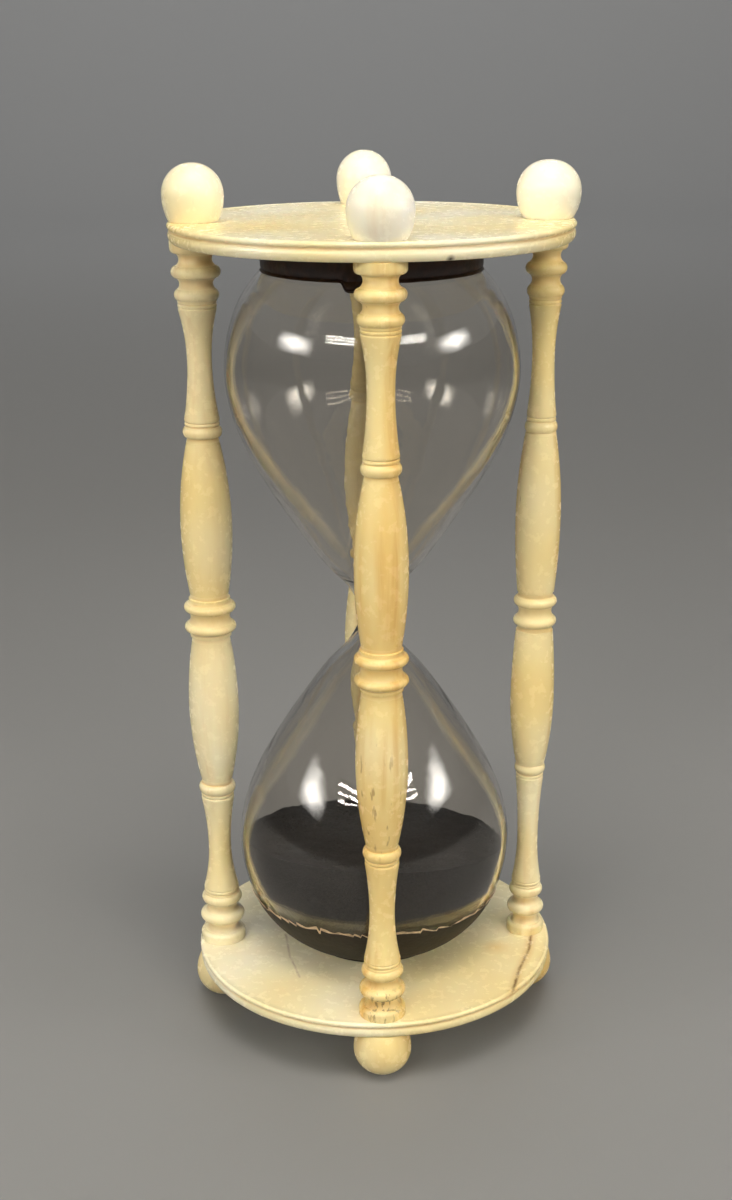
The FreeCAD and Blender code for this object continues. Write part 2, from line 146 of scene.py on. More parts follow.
def turned(name, outline, centre, foot, segments=96, wobble=0.0, seed=0.0, sharpAngle=40):
    # an outline turned about the upright line through centre; foot is the height of its zero in metres
    points = np.array(outline) * mm
    hollow = hollowness(outline)
    angles = np.arange(segments) * 2 * math.pi / segments
    vertices, depth, rings = [], [], []
    for (radius, height), deep in zip(points, hollow):
        if radius < onAxis:
            rings.append([len(vertices)])
            vertices.append((centre[0], centre[1], foot + height))
            depth.append(deep)
            continue
        rings.append(list(range(len(vertices), len(vertices) + segments)))
        for angle in angles:
            uneven = 1.0
            if wobble:
                at = Vector((math.cos(angle) * wobbleRound + seed, math.sin(angle) * wobbleRound,
                             height * wobbleAlong))
                uneven += wobble * (noise.noise(at) - 1) / 2
            vertices.append((centre[0] + radius * uneven * math.cos(angle),
                             centre[1] + radius * uneven * math.sin(angle), foot + height))
            depth.append(deep)
    faces = []
    for low, high in zip(rings, rings[1:]):
        for k in range(segments):
            n = (k + 1) % segments
            if len(low) == 1:
                faces.append((low[0], high[n], high[k]))
            elif len(high) == 1:
                faces.append((low[k], low[n], high[0]))
            else:
                faces.append((low[k], low[n], high[n], high[k]))
    return meshObject(name, vertices, faces, {"hollow": depth}, sharpAngle)


def finish(piece, node, body, material):
    piece.data.materials.append(material)
    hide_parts(*([node] if isinstance(node, str) else node))
    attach(piece, body)
    return piece


# ---- materials ----

def linear(hexColour):
    channels = [int(hexColour[i:i + 2], 16) / 255 for i in (1, 3, 5)]
    return tuple(c / 12.92 if c <= 0.04045 else ((c + 0.055) / 1.055) ** 2.4 for c in channels) + (1.0,)


def newMaterial(name):
    material = bpy.data.materials.new(name)
    material.use_nodes = True
    tree = material.node_tree
    shader = tree.nodes["Principled BSDF"]
    return material, tree, shader


def add(tree, kind, settings=None, **links):
    # one node: settings are its own properties, links its inputs by name or by _number, each a
    # value or a socket
    node = tree.nodes.new(kind)
    for key, value in (settings or {}).items():
        setattr(node, key, value)
    for key, value in links.items():
        byNumber = key[0] == "_" and key[1:].isdigit()
        socket = node.inputs[int(key[1:]) if byNumber else key.replace("_", " ")]
        if isinstance(value, bpy.types.NodeSocket):
            tree.links.new(value, socket)
        else:
            socket.default_value = value
    return node


def ramp(tree, factor, stops):
    node = add(tree, "ShaderNodeValToRGB", Fac=factor)
    elements = node.color_ramp.elements
    for index, (position, colour) in enumerate(stops):
        element = elements[index] if index < 2 else elements.new(position)
        element.position = position
        element.color = linear(colour) if isinstance(colour, str) else (colour, colour, colour, 1)
    return node.outputs["Color"]


def mixColour(tree, factor, first, second):
    node = tree.nodes.new("ShaderNodeMix")
    node.data_type = "RGBA"
    for socket, value in ((node.inputs[0], factor), (node.inputs[6], first), (node.inputs[7], second)):
        if isinstance(value, bpy.types.NodeSocket):
            tree.links.new(value, socket)
        else:
            socket.default_value = linear(value) if isinstance(value, str) else value
    return node.outputs[2]


def maths(tree, operation, first, second=0.0, clamp=False):
    node = add(tree, "ShaderNodeMath", {"operation": operation, "use_clamp": clamp}, _0=first, _1=second)
    return node.outputs[0]


ivoryLook = {
    "white": "#FFFBEE",
    "pale": "#FBEFC6",
    "cream": "#F6DF9C",
    "warm": "#EBBF68",
    "streak": "#C98E3C",
    "grime": "#93602B",
    "dirt": "#6A4A22",
    "soot": "#33231A",
    "grainMm": 0.9,        # width of a growth streak
    "grainLength": 22,     # how many times longer than wide it is
    "roughness": 0.27,
}


def spot(tree, place, centre, reach):
    # 1 at centre falling to 0 at reach from it, both in mm
    away = add(tree, "ShaderNodeVectorMath", {"operation": "DISTANCE"}, _0=place,
               _1=[value * mm for value in centre]).outputs["Value"]
    return ramp(tree, maths(tree, "DIVIDE", away, reach * mm), [(0.0, 1.0), (1.0, 0.0)])


def lineMark(tree, place, path, width, wander=0.5):
    # 1 along a line through the points of path, in mm, fading to 0 at width from it
    shake = add(tree, "ShaderNodeTexNoise", Vector=place, Scale=0.7 / mm, Detail=3.0, Roughness=0.6)
    offset = add(tree, "ShaderNodeVectorMath", {"operation": "MULTIPLY_ADD"}, _0=shake.outputs["Color"],
                 _1=[wander * mm] * 3, _2=[-wander * mm / 2] * 3).outputs[0]
    shaken = add(tree, "ShaderNodeVectorMath", {"operation": "ADD"}, _0=place, _1=offset).outputs[0]
    nearest = None
    for start, end in zip(path, path[1:]):
        way = Vector(end) - Vector(start)
        along = way.normalized()
        fromStart = add(tree, "ShaderNodeVectorMath", {"operation": "SUBTRACT"}, _0=shaken,
                        _1=[value * mm for value in start]).outputs[0]
        reach = add(tree, "ShaderNodeVectorMath", {"operation": "DOT_PRODUCT"}, _0=fromStart,
                    _1=list(along)).outputs["Value"]
        held = maths(tree, "MINIMUM", maths(tree, "MAXIMUM", reach, 0.0), way.length * mm)
        foot = add(tree, "ShaderNodeVectorMath", {"operation": "SCALE"}, _0=list(along),
                   Scale=held).outputs[0]
        away = add(tree, "ShaderNodeVectorMath", {"operation": "DISTANCE"}, _0=fromStart, _1=foot)
        distance = away.outputs["Value"]
        nearest = distance if nearest is None else maths(tree, "MINIMUM", nearest, distance)
    return ramp(tree, maths(tree, "DIVIDE", nearest, width * mm), [(0.0, 1.0), (1.0, 0.0)])


def makeIvory(name, grainAxis, streakAmount=0.5, grimeAmount=1.0, whiteness=0.5, extra=None):
    # turned and polished ivory: pale cream to honey, faintly translucent, with growth streaks along
    # the tusk, yellow in the hollows where polish never reached
    look = ivoryLook
    material, tree, shader = newMaterial(name)
    place = add(tree, "ShaderNodeTexCoord").outputs["Object"]
    stretch = [1.0, 1.0, 1.0]
    stretch[grainAxis] = 1 / look["grainLength"]
    along = add(tree, "ShaderNodeMapping", Vector=place, Scale=stretch).outputs[0]
    perMm = 1 / mm
    cloud = add(tree, "ShaderNodeTexNoise", Vector=place, Scale=0.035 * perMm, Detail=1.5, Roughness=0.4)
    streak = add(tree, "ShaderNodeTexNoise", Vector=along, Scale=perMm / look["grainMm"] * 0.5,
                 Detail=4.0, Roughness=0.6, Distortion=0.4)
    broad = add(tree, "ShaderNodeTexNoise", Vector=along, Scale=0.16 * perMm, Detail=2.0, Roughness=0.5)
    shift = 0.5 * (whiteness - 0.5)
    tone = ramp(tree, cloud.outputs["Fac"],
                [(0.05 + shift, look["white"]), (0.3 + shift, look["pale"]), (0.58 + shift, look["cream"]),
                 (0.95 + shift, look["warm"])])
    lines = ramp(tree, streak.outputs["Fac"], [(0.47, 0.0), (0.7, 1.0)])
    bands = ramp(tree, broad.outputs["Fac"], [(0.46, 0.0), (0.66, 1.0)])
    amount = maths(tree, "MULTIPLY", maths(tree, "MULTIPLY", lines, bands), 0.9 * streakAmount)
    colour = mixColour(tree, amount, tone, look["streak"])
    colour = mixColour(tree, maths(tree, "MULTIPLY", bands, 0.7 * streakAmount), colour, look["warm"])
    hollow = add(tree, "ShaderNodeAttribute", {"attribute_name": "hollow"}).outputs["Fac"]
    patchy = add(tree, "ShaderNodeTexNoise", Vector=place, Scale=0.5 * perMm, Detail=3.0, Roughness=0.6)
    deep = maths(tree, "MULTIPLY", maths(tree, "SUBTRACT", hollow, 0.05), 1.7 * grimeAmount, clamp=True)
    dirt = maths(tree, "MULTIPLY", deep, ramp(tree, patchy.outputs["Fac"], [(0.3, 0.55), (0.7, 1.0)]))
    colour = mixColour(tree, maths(tree, "MULTIPLY", dirt, 0.85), colour, look["warm"])
    deepest = maths(tree, "MULTIPLY", maths(tree, "POWER", dirt, 2.0), 0.6)
    colour = mixColour(tree, deepest, colour, look["grime"])
    # short dark checks along the grain
    checkStretch = [1, 1, 0.12] if grainAxis == 2 else [0.15, 1, 1]
    checkPlace = add(tree, "ShaderNodeMapping", Vector=place, Scale=checkStretch).outputs[0]
    checks = add(tree, "ShaderNodeTexNoise", Vector=checkPlace, Scale=1.1 * perMm, Detail=2.0,
                 Roughness=0.7)
    thin = ramp(tree, checks.outputs["Fac"], [(0.75, 0.0), (0.79, 1.0)])
    colour = mixColour(tree, maths(tree, "MULTIPLY", thin, 0.6 * streakAmount), colour, look["grime"])
    if extra:
        colour = extra(tree, place, colour)
    shine = ramp(tree, patchy.outputs["Fac"],
                 [(0.25, look["roughness"] - 0.005), (0.8, look["roughness"] + 0.01)])
    rough = maths(tree, "ADD", shine, maths(tree, "MULTIPLY", dirt, 0.2), clamp=True)
    bump = add(tree, "ShaderNodeBump", Height=streak.outputs["Fac"], Strength=0.08 * streakAmount,
               Distance=0.03 * mm)
    tree.links.new(colour, shader.inputs["Base Color"])
    tree.links.new(rough, shader.inputs["Roughness"])
    tree.links.new(bump.outputs[0], shader.inputs["Normal"])
    shader.inputs["IOR"].default_value = 1.54
    shader.inputs["Subsurface Weight"].default_value = 0.2
    shader.inputs["Subsurface Radius"].default_value = (1.0, 0.78, 0.45)
    shader.inputs["Subsurface Scale"].default_value = 1.0 * mm
    return material


def makeGlass():
    # hand-blown soda glass: clear with a trace of grey-green, fine ripples left by the blowing
    material, tree, shader = newMaterial("blownGlass")
    place = add(tree, "ShaderNodeTexCoord").outputs["Object"]
    ripple = add(tree, "ShaderNodeTexNoise", Vector=place, Scale=0.11 / mm, Detail=2.0, Roughness=0.5,
                 Distortion=0.6)
    bump = add(tree, "ShaderNodeBump", Height=ripple.outputs["Fac"], Strength=0.25, Distance=0.25 * mm)
    tree.links.new(bump.outputs[0], shader.inputs["Normal"])
    shader.inputs["Base Color"].default_value = linear("#F4F1EC")
    shader.inputs["Roughness"].default_value = 0.0
    shader.inputs["IOR"].default_value = 1.5
    shader.inputs["Transmission Weight"].default_value = 1.0
    return material


def makePitch(name, darkest, middling, lightest, roughness):
    # pitch poured hot and set: nearly black brown, half glossy, lumpy
    material, tree, shader = newMaterial(name)
    place = add(tree, "ShaderNodeTexCoord").outputs["Object"]
    lump = add(tree, "ShaderNodeTexNoise", Vector=place, Scale=0.6 / mm, Detail=4.0, Roughness=0.6)
    colour = ramp(tree, lump.outputs["Fac"], [(0.3, darkest), (0.6, middling), (0.8, lightest)])
    # along the bed's chipped edge a pale cream rim is painted in: a painted reflection of the cream plate
    edge = add(tree, "ShaderNodeAttribute", {"attribute_name": "edge"}).outputs["Fac"]
    paintedReflectionRim = maths(tree, "MULTIPLY", edge, ramp(tree, lump.outputs["Fac"], [(0.3, 0.35), (0.6, 1.0)]))
    colour = mixColour(tree, paintedReflectionRim, colour, "#CDB391")
    bump = add(tree, "ShaderNodeBump", Height=lump.outputs["Fac"], Strength=0.5, Distance=0.3 * mm)
    tree.links.new(colour, shader.inputs["Base Color"])
    tree.links.new(bump.outputs[0], shader.inputs["Normal"])
    shader.inputs["Roughness"].default_value = roughness
    shader.inputs["IOR"].default_value = 1.5
    return material


def makeSand(name, darkest, lightest):
    # fine black sand: dull, each grain a little different
    material, tree, shader = newMaterial(name)
    place = add(tree, "ShaderNodeTexCoord").outputs["Object"]
    grain = add(tree, "ShaderNodeTexNoise", Vector=place, Scale=2.2 / mm, Detail=3.0, Roughness=0.8)
    colour = ramp(tree, grain.outputs["Fac"], [(0.3, darkest), (0.62, lightest), (0.85, "#6A625A")])
    bump = add(tree, "ShaderNodeBump", Height=grain.outputs["Fac"], Strength=0.9, Distance=0.2 * mm)
    tree.links.new(colour, shader.inputs["Base Color"])
    tree.links.new(bump.outputs[0], shader.inputs["Normal"])
    shader.inputs["Roughness"].default_value = 0.75
    return material


def makeCork():
    # natural cork: warm brown with darker pores
    material, tree, shader = newMaterial("naturalCork")
    place = add(tree, "ShaderNodeTexCoord").outputs["Object"]
    pores = add(tree, "ShaderNodeTexVoronoi", Vector=place, Scale=1.1 / mm)
    colour = ramp(tree, pores.outputs["Distance"], [(0.05, "#5A3A20"), (0.35, "#A87B4C"), (0.8, "#BE9464")])
    bump = add(tree, "ShaderNodeBump", Height=pores.outputs["Distance"], Strength=0.5, Distance=0.2 * mm)
    tree.links.new(colour, shader.inputs["Base Color"])
    tree.links.new(bump.outputs[0], shader.inputs["Normal"])
    shader.inputs["Roughness"].default_value = 0.85
    return material


# ---- pillars ----

pillarShape = {
    "circle": 34.74,
    "tenonRadius": 1.5,     # root of the screw thread
    "tenonLength": 10.5,
    "collarHeight": 1.5,
    "collarRound": 0.9,
    "lines": 2,             # incised lines side by side
    "linePitch": 0.8,
    "lineWidth": 0.4,
    "lineDepth": 0.25,
    "belly": {"front": 5.3, "right": 4.75, "back": 5.2, "left": 5.4},
    "waist": {"front": 2.65, "right": 2.3, "back": 2.5, "left": 2.5},
    "fullness": {"front": 1.03, "right": 0.88, "back": 1.0, "left": 1.05},  # factor on bead radii
    "bandSlip": {"front": 0, "right": 3, "back": 0, "left": 0},  # lower band sits nearer the middle
    "vaseFoot": 3.95,
    "vaseNeck": 3.15,
    "tipChamfer": 0.4,
    "edgeRound": 0.14,
    "longestStep": 0.9,     # between two rings of the mesh
    "radius": {"midCove": 4.0, "midRoot": 4.6, "midBead": 5.25, "fillet": 4.2, "bandRoot": 3.45,
               "band": 3.85, "trumpetTop": 3.75, "rim": 4.3, "step": 3.8, "neckCove": 3.2,
               "endBead": 4.75, "endCove": 3.15, "collarFoot": 4.15, "collar": 4.8},
    "height": {"midBeadFoot": 1.3, "midBeadTop": 3.1, "filletFoot": 3.4, "filletTop": 4.3,
               "belly": 20, "bandFoot": 38.6, "bandTop": 40.7, "waist": 54, "rimFoot": 65.9,
               "neckCoveFoot": 68.0, "endBeadFoot": 70.2, "endBeadTop": 72.6},
}


def incised(start):
    # fine grooves cut side by side in a cylinder that begins at start
    radius, height = start
    points = []
    for line in range(pillarShape["lines"]):
        edge = height + line * pillarShape["linePitch"]
        points += [(radius - pillarShape["lineDepth"], edge + pillarShape["lineWidth"] / 2),
                   (radius, edge + pillarShape["lineWidth"]), (radius, edge + pillarShape["linePitch"])]
    return points


def halfPillar(side, slip):
    # from the cove at mid height out to the tip of the tenon
    shape, at = pillarShape, pillarShape["height"]
    radius = {name: value * shape["fullness"][side] for name, value in shape["radius"].items()}
    belly, waist = (shape["belly"][side], at["belly"]), (shape["waist"][side], at["waist"])
    linesHeight = shape["lines"] * shape["linePitch"]
    points = [(radius["midCove"], 0)]
    points += swell(points[0], (radius["midRoot"], at["midBeadFoot"]), upright=points[0], steps=5)
    points += bow(points[-1], (radius["midRoot"], at["midBeadTop"]), radius["midBead"])
    points += [(radius["fillet"], at["filletFoot"]), (radius["fillet"], at["filletTop"])]
    points += [(shape["vaseFoot"], at["filletTop"])]
    points += swell(points[-1], belly, upright=belly)
    points += swell(belly, (shape["vaseNeck"], at["bandFoot"] - slip), upright=belly)
    points += [(radius["bandRoot"], at["bandFoot"] - slip)]
    points += bow(points[-1], (radius["bandRoot"], at["bandTop"] - slip), radius["band"], 6)
    points += incised(points[-1])
    points += swell(points[-1], waist, upright=waist)
    points += swell(waist, (radius["trumpetTop"], at["rimFoot"] - linesHeight), upright=waist)
    points += incised(points[-1])
    points += bow(points[-1], (radius["step"], at["neckCoveFoot"]), radius["rim"])
    points += bow(points[-1], (radius["step"], at["endBeadFoot"]), radius["neckCove"], 7)
    points += bow(points[-1], (radius["step"], at["endBeadTop"]), radius["endBead"])
    collar = (radius["collar"], halfGap - shape["collarHeight"])
    collarFoot = (radius["collarFoot"], collar[1] - shape["collarRound"])
    points += bow(points[-1], (radius["step"], collarFoot[1]), radius["endCove"], 7)
    points += [collarFoot]
    points += swell(collarFoot, collar, upright=collar, steps=6)
    tenon, tip = shape["tenonRadius"], halfGap + shape["tenonLength"]
    chamfer = shape["tipChamfer"]
    points += [(radius["collar"], halfGap), (tenon, halfGap)]
    points += [(tenon, tip - chamfer), (tenon - chamfer, tip), (0, tip)]
    return points


def pillarOutline(side):
    upper = halfPillar(side, 0)
    lower = [(radius, -height) for radius, height in halfPillar(side, pillarShape["bandSlip"][side])]
    whole = lower[:0:-1] + upper
    return finer(softened(whole, pillarShape["edgeRound"]), pillarShape["longestStep"])


def placeOf(side):
    return tuple(pillarShape["circle"] * mm * step for step in sides[side])


def frontPillarMarks(tree, place, colour):
    # dark flecks all round the lower vase, and dirt on the outward side of the beads at its foot
    height = add(tree, "ShaderNodeSeparateXYZ", Vector=place).outputs["Z"]
    fromMiddle = maths(tree, "DIVIDE", maths(tree, "SUBTRACT", height, middle), mm)
    fleckPlace = add(tree, "ShaderNodeMapping", Vector=place, Scale=[1, 1, 0.22]).outputs[0]
    fleck = add(tree, "ShaderNodeTexNoise", Vector=fleckPlace, Scale=0.9 / mm, Detail=2.0, Roughness=0.7)
    flecks = ramp(tree, fleck.outputs["Fac"], [(0.6, 0.0), (0.68, 1.0)])
    inVase = ramp(tree, maths(tree, "DIVIDE", maths(tree, "ADD", fromMiddle, 45.0), 40.0),
                  [(0.05, 0.0), (0.25, 1.0), (0.6, 1.0), (0.8, 0.0)])
    atFoot = ramp(tree, maths(tree, "DIVIDE", maths(tree, "ADD", fromMiddle, 78.0), 10.0),
                  [(0.7, 1.0), (0.9, 0.0)])
    colour = mixColour(tree, maths(tree, "MULTIPLY", maths(tree, "MULTIPLY", flecks, inVase), 0.55),
                       colour, ivoryLook["grime"])
    tickPlace = add(tree, "ShaderNodeMapping", Vector=place, Scale=[1, 1, 0.4]).outputs[0]
    tick = add(tree, "ShaderNodeTexNoise", Vector=tickPlace, Scale=1.0 / mm, Detail=2.0, Roughness=0.6)
    ticks = ramp(tree, tick.outputs["Fac"], [(0.54, 0.0), (0.6, 1.0)])
    near = spot(tree, place, (0, -pillarShape["circle"] - 4.4, middle / mm - 73.5), 6.5)
    patch = maths(tree, "MULTIPLY", maths(tree, "MULTIPLY", ticks, atFoot), near)
    return mixColour(tree, maths(tree, "MULTIPLY", patch, 0.9), colour, ivoryLook["dirt"])


print("pillars")
pillarLook = {  # how streaky and how white each pillar is, and any marks of its own
    "front": (1.0, 0.35, frontPillarMarks),
    "right": (0.8, 0.6, None),
    "back": (0.5, 0.5, None),
    "left": (0.2, 0.7, None),
}
pillarIvory = {}
for number, side in enumerate(sides):
    streaks, whiteness, marks = pillarLook[side]
    pillarIvory[side] = makeIvory(f"ivoryPillar{side.title()}", 2, streaks, 1.0, whiteness, marks)
    piece = turned(f"pillar_{side}_turned", pillarOutline(side), placeOf(side), middle,
                   segments=80, wobble=0.012, seed=number * 7.3)
    finish(piece, f"pillar_{side}", "frame", pillarIvory[side])


# ---- plates ----

plateShape = {
    "radius": 40.0,
    "edgeInset": 0.85,
    "bandRadius": 39.85,    # crest of the wide band in the edge
    "grooveInset": 0.45,
    "grooveHeight": 2.2,
    "grooveWidth": 0.3,
    "edgeRound": 0.18,
    "longestStep": 1.2,
}
baseMarks = {  # on the upper face of the base plate, x and y in mm
    "crack": [(36.4, -1.0), (34.5, -10.1), (31.1, -19.2), (29.0, -26.7), (27.1, -33.6), (26.9, -34.6)],
    "hairline": [(-20.5, -0.3), (-19.6, -10.0), (-17.4, -19.7)],
    "stain": (27.1, -8.8),
}


def plateOutline(thick):
    radius, inset = plateShape["radius"], plateShape["edgeInset"]
    groove = radius - plateShape["grooveInset"]
    low, high = plateShape["grooveHeight"], plateShape["grooveHeight"] + plateShape["grooveWidth"]
    points = [(0, 0), (radius - inset, 0)]
    points += bow(points[-1], (groove, low), plateShape["bandRadius"])
    points += [(groove, high)]
    points += bow(points[-1], (radius - inset, thick), radius)
    points += [(0, thick)]
    return finer(softened(points, plateShape["edgeRound"]), plateShape["longestStep"])


def basePlateMarks(tree, place, colour):
    top = baseHigh.z / mm
    crack = lineMark(tree, place, [(x, y, top) for x, y in baseMarks["crack"]], 0.5)
    halo = lineMark(tree, place, [(x, y, top) for x, y in baseMarks["crack"]], 1.6)
    hairline = lineMark(tree, place, [(x, y, top) for x, y in baseMarks["hairline"]], 0.4)
    stain = spot(tree, place, (*baseMarks["stain"], top), 3.6)
    uneven = add(tree, "ShaderNodeTexNoise", Vector=place, Scale=0.35 / mm, Detail=3.0, Roughness=0.6)
    broken = ramp(tree, uneven.outputs["Fac"], [(0.35, 0.35), (0.6, 1.0)])
    colour = mixColour(tree, maths(tree, "MULTIPLY", stain, 0.5), colour, ivoryLook["warm"])
    colour = mixColour(tree, maths(tree, "MULTIPLY", halo, 0.4), colour, ivoryLook["streak"])
    colour = mixColour(tree, maths(tree, "MULTIPLY", hairline, maths(tree, "MULTIPLY", broken, 0.5)),
                       colour, ivoryLook["grime"])
    return mixColour(tree, maths(tree, "MULTIPLY", crack, broken), colour, ivoryLook["dirt"])


def topPlateMarks(tree, place, colour):
    # one small dark bruise on the lower corner of the edge, to the right of the front pillar
    bruise = spot(tree, place, (12.2, -37.6, topLow.z / mm + 0.3), 1.0)
    return mixColour(tree, bruise, colour, ivoryLook["soot"])


print("plates")
for label, low, high, marks in (("base_plate", baseLow, baseHigh, basePlateMarks),
                                ("top_plate", topLow, topHigh, topPlateMarks)):
    outline = plateOutline((high.z - low.z) / mm)
    piece = turned(f"{label}_turned", outline, (0, 0), low.z, segments=256)
    plateIvory = makeIvory(f"ivory{label.title().replace('_', '')}", 0, 0.05, 1.6, 0.8, marks)
    finish(piece, label, "frame", plateIvory)


# ---- balls ----

ballShape = {
    "height": 10.85,
    "seatRadius": 4.9,
    "seatDrop": 5.0,       # from the widest place to the seat
    "flatRadius": 1.2,     # worn flat opposite the seat
    "boreRadius": 1.75,
    "boreDepth": 7.4,
    "edgeRound": 0.12,
    "longestStep": 0.8,
    "finial": {"front": 6.2, "right": 6.4, "back": 5.9, "left": 6.1},
    "foot": {"front": 6.2, "right": 6.3, "back": 6.2, "left": 6.4},
}


def ballOutline(radius):
    shape = ballShape
    widest = (radius, shape["seatDrop"])
    points = [(0, shape["boreDepth"]), (shape["boreRadius"], shape["boreDepth"]), (shape["boreRadius"], 0)]
    points += [(shape["seatRadius"], 0)]
    points += swell(points[-1], widest, upright=widest)
    points += swell(widest, (shape["flatRadius"], shape["height"]), upright=widest, steps=26)
    points += [(0, shape["height"])]
    return finer(softened(points, shape["edgeRound"]), shape["longestStep"])


print("balls")
# one ivory in two copies: the finials' much whiter copy is painted highlight from the lamps above, the
# feet's yellower, darker copy is painted shade under the base plate
ballIvory = {"finial": makeIvory("ivoryFinialPaintedHighlight", 2, 0.15, 0.6, 1.2),
             "foot": makeIvory("ivoryFootPaintedShade", 2, 0.3, 0.6, 0.35)}
for number, side in enumerate(sides):
    for kind, seatCorner, direction in (("finial", 0, 1), ("foot", 1, -1)):
        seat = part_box(f"{kind}_{side}")[seatCorner].z
        outline = [(radius, height * direction) for radius, height in ballOutline(ballShape[kind][side])]
        outline = outline if direction > 0 else outline[::-1]
        piece = turned(f"{kind}_{side}_turned", outline, placeOf(side), seat,
                       segments=72, wobble=0.012, seed=number * 3.1 + direction)
        finish(piece, f"{kind}_{side}", f"{kind}_{side}", ballIvory[kind])


# ---- glass, sand, cork and pitch ----

glassShape = {
    "wall": 1.2,
    "neck": 2.6,
    "bore": 0.6,
    "end": 76.4,
    "endRadius": 13.5,
    "throat": 6.0,          # height over which the wall thickens towards the neck
    "fillHole": (2.15, 2.05),  # radius of the filling hole outside and inside
    "stations": [(4.5, 4.25), (12, 10.6), (20, 16.3), (28, 21.5), (36, 25.9), (44, 28.9),
                 (51, 30.0), (58, 29.35), (64, 27.5), (70, 23.7), (74, 19.2)],
}


def smoothLine(points, startWay, endWay, perSpan=6):
    # a line through the points that bends evenly, with a given direction at either end
    points = np.array(points, float)
    place = np.concatenate([[0], np.cumsum(np.hypot(*np.diff(points, axis=0).T))])
    ways = np.gradient(points, place, axis=0)
    ways[0], ways[-1] = startWay, endWay
    line = []
    for index in range(len(points) - 1):
        span = place[index + 1] - place[index]
        for t in np.linspace(0, 1, perSpan, endpoint=False):
            line.append((2 * t ** 3 - 3 * t ** 2 + 1) * points[index]
                        + (t ** 3 - 2 * t ** 2 + t) * span * ways[index]
                        + (3 * t ** 2 - 2 * t ** 3) * points[index + 1]
                        + (t ** 3 - t ** 2) * span * ways[index + 1])
    return np.array(line + [points[-1]])


def glassLines():
    # outer and inner faces of the glass from its lower flat end to its upper one
    bulb = glassShape["stations"] + [(glassShape["end"], glassShape["endRadius"])]
    points = [(radius, -height) for height, radius in reversed(bulb)] + [(glassShape["neck"], 0)]
    points += [(radius, height) for height, radius in bulb]
    outer = smoothLine(points, (1, 0), (-1, 0))
    way = np.gradient(outer, axis=0)
    way[0], way[-1] = (1, 0), (-1, 0)
    way /= np.linalg.norm(way, axis=1)[:, None]
    extra = glassShape["neck"] - glassShape["bore"] - glassShape["wall"]
    thickness = glassShape["wall"] + extra * np.exp(-(outer[:, 1] / glassShape["throat"]) ** 2)
    inner = outer + np.stack([-way[:, 1], way[:, 0]], axis=1) * thickness[:, None]
    return outer, inner


print("glass")
glassOuter, glassInner = glassLines()
end, wall, fillHole = glassShape["end"], glassShape["wall"], glassShape["fillHole"]
outline = [(0, -end)] + [tuple(point) for point in glassOuter]
outline += [(fillHole[0], end), (fillHole[1], end - wall)]
outline += [tuple(point) for point in glassInner[::-1]] + [(0, wall - end)]
glass = turned("glass_blown", outline, (0, 0), middle, segments=160, wobble=0.0015, sharpAngle=50)
finish(glass, "glass_ampoule", "frame", makeGlass())


sandShape = {
    "level": 25.1,       # mm above the lower plate, on the axis
    "fallBack": 9.4,     # degrees down towards the back
    "fallRight": 2.5,    # degrees down towards the right
    "rough": 0.35,       # mm of unevenness
    "grains": 9000,
    "grainMm": 0.17,     # radius of the largest grains, drawn coarser than real ones so that they show
    "seed": 4,
    "clear": 0.06,       # gap left to the glass
    "lift": 0.04,        # and to its flat end
    "meshTurns": 144,    # mesh points round the heap
    "meshRings": 44,     # and from its middle to its edge
    "grainTurns": 96,
    "grainRings": 20,
}


def sandHeight(x, y):
    # mm from mid height; x and y in mm
    slope = math.tan(math.radians(sandShape["fallBack"])) * y
    slope += math.tan(math.radians(sandShape["fallRight"])) * x
    rough = noise.noise(Vector((x * 0.22, y * 0.22, 3.1))) + 0.4 * noise.noise(Vector((x, y, 8.8)))
    return sandShape["level"] - halfGap - slope + sandShape["rough"] * rough


def sandMesh(segments, rings):
    lower = glassInner[glassInner[:, 1] < -20]
    heights, radii = lower[:, 1], lower[:, 0] - sandShape["clear"]
    floorHeight = heights[0] + sandShape["lift"]
    vertices, faces, starts = [(0, 0, sandHeight(0, 0))], [], []
    for ring in range(1, rings + 1):
        starts.append(len(vertices))
        for k in range(segments):
            angle = 2 * math.pi * k / segments
            # where the sloping surface meets the glass, closed in on step by step
            edge = 28.0
            for _ in range(8):
                edge = np.interp(sandHeight(edge * math.cos(angle), edge * math.sin(angle)), heights, radii)
            radius = edge * ring / rings
            x, y = radius * math.cos(angle), radius * math.sin(angle)
            vertices.append((x, y, sandHeight(x, y)))
    steps = 22
    for step in range(1, steps + 1):
        starts.append(len(vertices))
        for k in range(segments):
            x, y, z = vertices[starts[rings - 1] + k]
            height = z + (floorHeight - z) * step / steps
            radius = np.interp(height, heights, radii)
            scale = radius / math.hypot(x, y)
            vertices.append((x * scale, y * scale, height))
    for k in range(segments):
        n = (k + 1) % segments
        faces.append((0, starts[0] + k, starts[0] + n))
        for low, high in zip(starts, starts[1:]):
            faces.append((low + k, high + k, high + n, low + n))
        faces.append((starts[-1] + k, len(vertices), starts[-1] + n))
    vertices.append((0, 0, floorHeight))
    return [(x * mm, y * mm, middle + z * mm) for x, y, z in vertices], faces


print("sand")
sand = meshObject("sand_heap", *sandMesh(sandShape["meshTurns"], sandShape["meshRings"]))
finish(sand, "sand", "frame", makeSand("blackSand", "#1C1816", "#37312D"))

corkShape = {"length": 3.6, "tip": 1.9, "widest": 2.03, "lip": 0.2, "edgeRound": 0.2, "longestStep": 0.6}
corkOutline = [(0, end - corkShape["length"]), (corkShape["tip"], end - corkShape["length"]),
               (corkShape["widest"], end - corkShape["lip"]), (corkShape["tip"], end), (0, end)]
corkOutline = finer(softened(corkOutline, corkShape["edgeRound"]), corkShape["longestStep"])
cork = turned("filling_cork_turned", corkOutline, (0, 0), middle, segments=48, wobble=0.03)
finish(cork, "filling_cork", "frame", makeCork())


